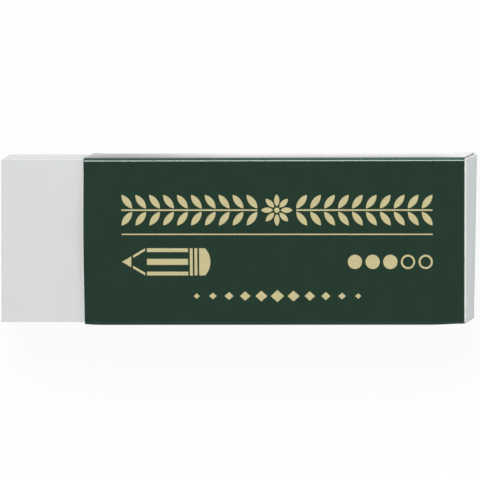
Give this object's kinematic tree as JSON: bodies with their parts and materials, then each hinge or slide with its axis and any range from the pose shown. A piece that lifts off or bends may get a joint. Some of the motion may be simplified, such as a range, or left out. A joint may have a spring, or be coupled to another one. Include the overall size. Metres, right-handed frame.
{
  "type": "vinyl eraser",
  "caption": "White vinyl eraser block in a dark green card sleeve with a plain gold foil print, lying flat, with one end bare and a sleeve that slides along the block.",
  "frame": {"origin": "centre of the underside of the eraser's bounding box, on the surface it lies on", "axes": "+X along the length, from the bare working end to the sleeved end; +Y across the width, up in the print's reading direction; +Z out of the printed front panel"},
  "size_m": [0.062, 0.022, 0.0123],
  "materials": {
    "white_vinyl": "matte",
    "green_card": "satin",
    "gold_foil": "satin"
  },
  "bodies": {
    "block": {"vinyl_block": "white_vinyl"},
    "sleeve": {"card_sleeve": "green_card", "gold_print": "gold_foil"}
  },
  "joints": [
    {"name": "sleeve_slide", "type": "slide", "parent": "block", "child": "sleeve", "axis": [1, 0, 0], "range_m": [-0.0111, 0.0515]}
  ]
}
